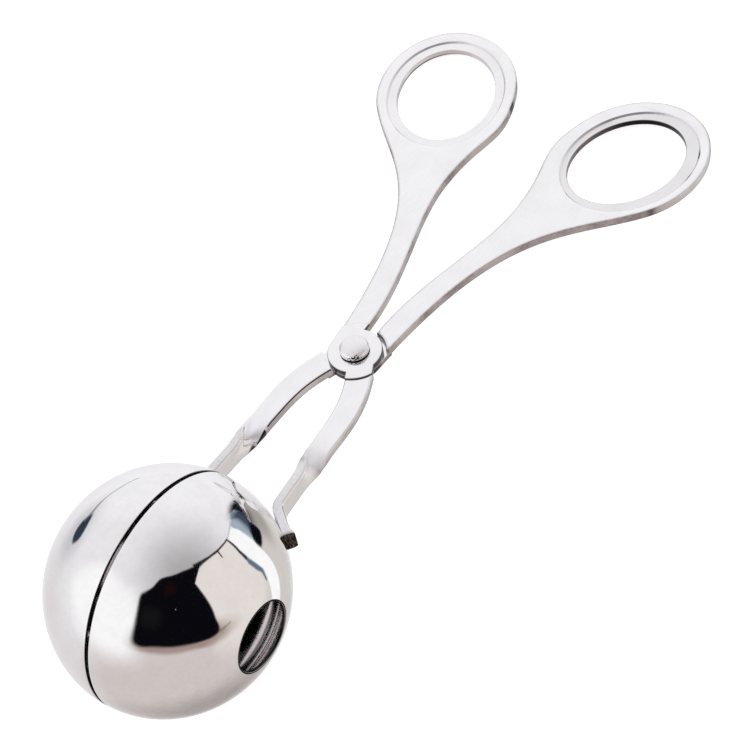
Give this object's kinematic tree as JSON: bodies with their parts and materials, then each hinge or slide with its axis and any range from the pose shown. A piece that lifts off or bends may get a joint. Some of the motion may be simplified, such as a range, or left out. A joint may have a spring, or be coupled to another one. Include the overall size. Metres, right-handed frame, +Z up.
{
  "type": "meatball tongs",
  "caption": "Riveted stainless steel tongs whose crossed, twisted arms close two drained half-ball cups to press food into a ball.",
  "frame": {"origin": "middle of the foot of the box round the tongs, on the table that they lie on", "axes": "+Y from the ball to the finger loops, +X to the right loop, +Z up from the table; the pivot's axis leans from +Z towards +Y by the tilt of the tongs as they lie"},
  "size_m": [0.072, 0.1628, 0.046],
  "materials": {
    "arm_steel": "stamped stainless sheet, polished faces and duller cut edges",
    "cup_steel": "drawn stainless sheet, mirror polished with fine polishing lines",
    "rivet_steel": "plain stainless rivet, satin"
  },
  "bodies": {
    "lower_half": {"lower_arm": "arm_steel", "left_cup": "cup_steel", "pivot_rivet": "rivet_steel"},
    "upper_half": {"upper_arm": "arm_steel", "right_cup": "cup_steel"}
  },
  "joints": [
    {"name": "pivot_hinge", "type": "hinge", "parent": "lower_half", "child": "upper_half", "pos_m": [0, 0.00126, 0.01359], "axis": [0, 0.1557, 0.9878], "range_deg": [-0.35, 45]}
  ]
}
